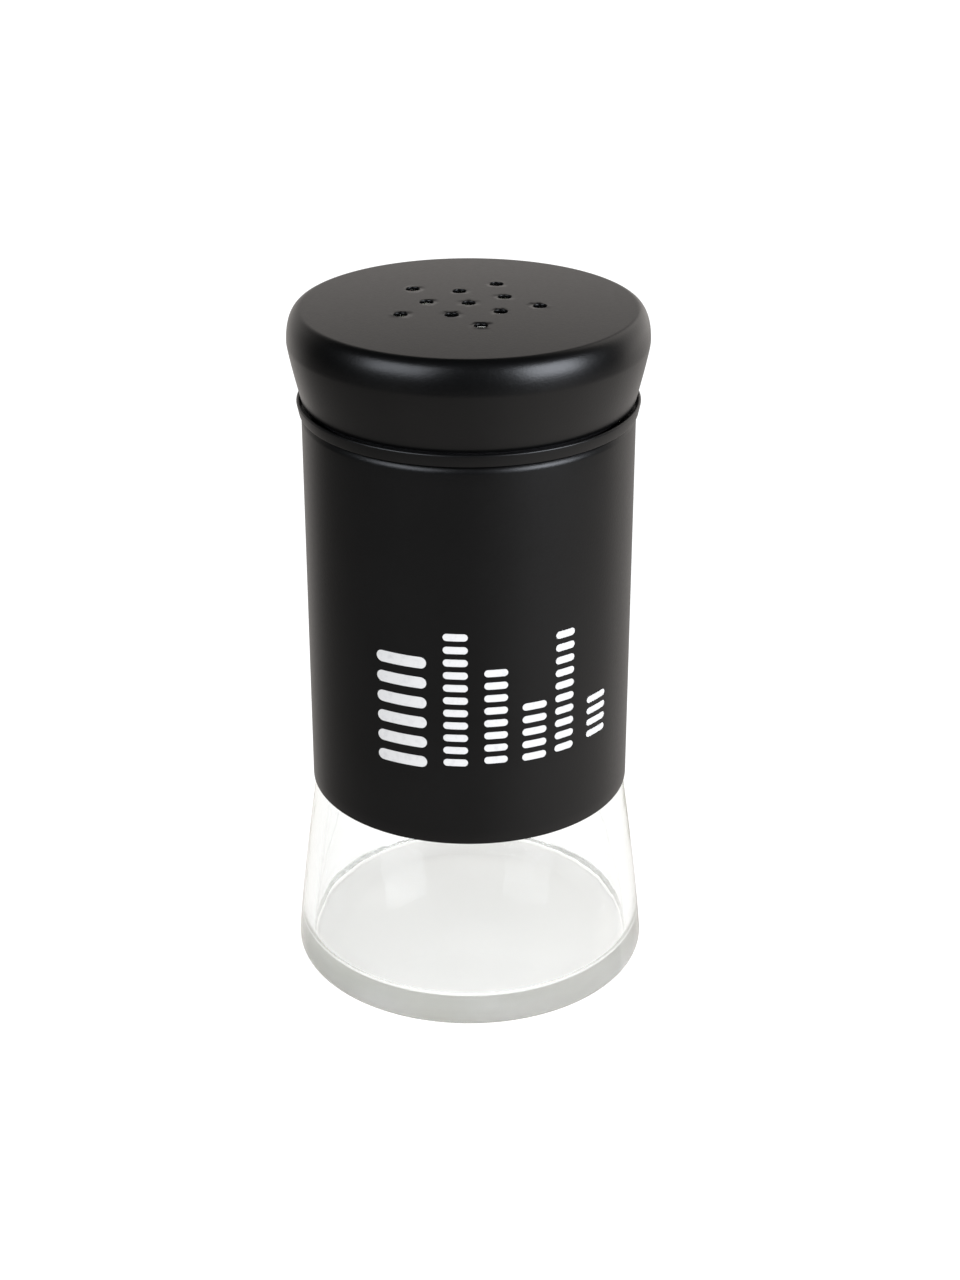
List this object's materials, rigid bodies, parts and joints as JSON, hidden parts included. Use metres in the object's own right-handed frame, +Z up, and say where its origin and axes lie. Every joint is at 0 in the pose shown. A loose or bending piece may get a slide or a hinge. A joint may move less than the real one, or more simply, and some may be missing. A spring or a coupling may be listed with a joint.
{
  "type": "table shaker",
  "caption": "Table shaker for salt or pepper: clear glass jar with a flared foot, in a black coated steel sleeve, under a rounded screw lid with pouring holes in its top.",
  "frame": {"origin": "centre of the ring that the glass base stands on", "axes": "+Z up, along the axis of the jar, the sleeve and the lid; -Y faces the viewer who sees the print"},
  "size_m": [0.0626, 0.0626, 0.12],
  "materials": {
    "glass": "gloss",
    "coated_steel": "satin",
    "adhesive": "satin",
    "liner_plastic": "satin",
    "seal_rubber": "matte",
    "print": "matte"
  },
  "bodies": {
    "jar": {"glass_jar": "glass", "sleeve": "coated_steel", "sleeve_adhesive": "adhesive"},
    "seal": {"lid_seal": "seal_rubber"},
    "lid": {"lid_shell": "coated_steel", "lid_insert": "liner_plastic"}
  },
  "joints": [
    {"name": "lid_rise", "type": "slide", "parent": "jar", "child": "seal", "axis": [0, 0, 1], "range_m": [0, 0.0168]},
    {"name": "lid_turn", "type": "hinge", "parent": "seal", "child": "lid", "pos_m": [0, 0, 0.12], "axis": [0, 0, 1], "range_deg": [0, 1440]}
  ],
  "couplings": [
    {"joint": "lid_rise", "follows": "lid_turn", "m_per_rad": 0.00066845}
  ]
}
